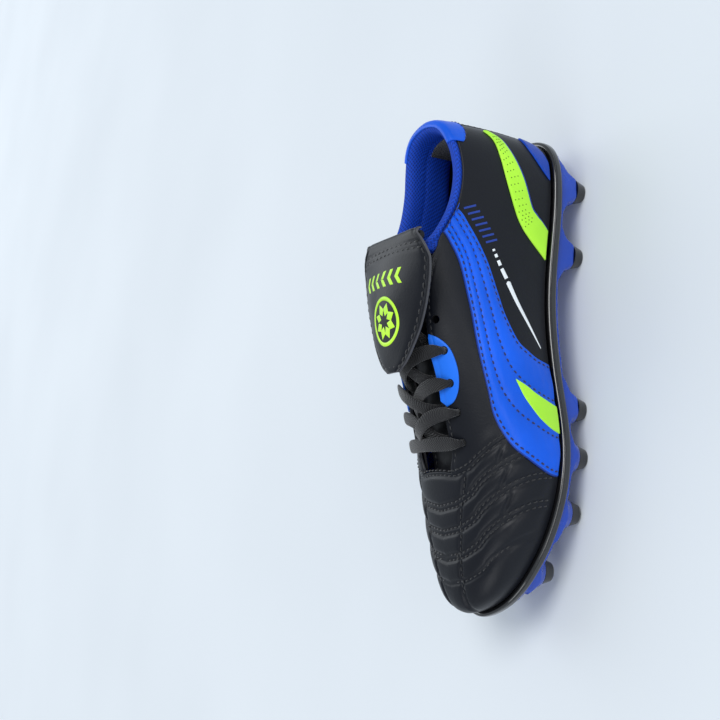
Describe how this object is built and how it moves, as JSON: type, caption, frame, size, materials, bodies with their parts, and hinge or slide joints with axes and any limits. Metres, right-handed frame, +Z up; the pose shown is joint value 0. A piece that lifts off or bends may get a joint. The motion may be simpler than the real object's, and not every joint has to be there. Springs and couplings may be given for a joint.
{
  "type": "soccer cleat",
  "caption": "Left soccer cleat with moulded studs, laced synthetic upper, padded collar and a fold-over flap over the laces.",
  "frame": {"origin": "middle of the shoe's bounding box, on the ground plane under the stud tips", "axes": "+Z up, +Y toward the toe, +X toward the inner (medial) side of the foot"},
  "size_m": [0.0808, 0.236, 0.0974],
  "materials": {
    "skin_black": "satin synthetic leather",
    "lining_blue": "knitted mesh",
    "blue_leather": "satin synthetic leather",
    "lime": "matte synthetic leather",
    "rim_black": "glossy",
    "plate_blue": "glossy moulded plastic",
    "tip_black": "satin moulded plastic",
    "board": "pressed fibre board",
    "foam": "soft foam",
    "insole_blue": "brushed textile",
    "grip_black": "napped fabric",
    "flap_black": "satin synthetic leather",
    "badge_lime": "moulded rubber transfer",
    "lace_black": "flat woven cord",
    "aglet": "clear dark plastic tube"
  },
  "bodies": {
    "shoe": {"aglet_lateral": "aglet", "aglet_medial": "aglet", "backstay": "skin_black", "band_lateral": "blue_leather", "band_medial": "blue_leather", "band_wedge_lateral": "lime", "band_wedge_medial": "lime", "collar_foam": "foam", "collar_mesh": "lining_blue", "collar_roll": "lining_blue", "eyelet_patch_lateral": "blue_leather", "eyelet_patch_medial": "blue_leather", "heel_counter": "board", "heel_grip": "grip_black", "heel_leaf_lateral": "blue_leather", "heel_leaf_medial": "blue_leather", "heel_lining": "lining_blue", "heel_stripe_lateral": "lime", "heel_stripe_medial": "lime", "insole_board": "board", "lace": "lace_black", "outsole_plate": "plate_blue", "quarter_lateral": "skin_black", "quarter_lining_lateral": "lining_blue", "quarter_lining_medial": "lining_blue", "quarter_medial": "skin_black", "sockliner_cover": "insole_blue", "sockliner_foam": "foam", "sole_rim": "rim_black", "stud_tip_01": "tip_black", "stud_tip_02": "tip_black", "stud_tip_03": "tip_black", "stud_tip_04": "tip_black", "stud_tip_05": "tip_black", "stud_tip_06": "tip_black", "stud_tip_07": "tip_black", "stud_tip_08": "tip_black", "stud_tip_09": "tip_black", "stud_tip_10": "tip_black", "stud_tip_11": "tip_black", "stud_tip_12": "tip_black", "toe_puff": "board", "tongue": "skin_black", "tongue_hem": "skin_black", "tongue_lining": "lining_blue", "vamp": "skin_black", "vamp_lining": "lining_blue"},
    "flap": {"flap_outer": "flap_black", "flap_backing": "flap_black", "flap_badge": "badge_lime"}
  },
  "joints": [
    {"name": "flap_fold", "type": "hinge", "parent": "shoe", "child": "flap", "pos_m": [0, -0.052, 0.0923], "axis": [1, 0, 0], "range_deg": [0, 130]}
  ]
}
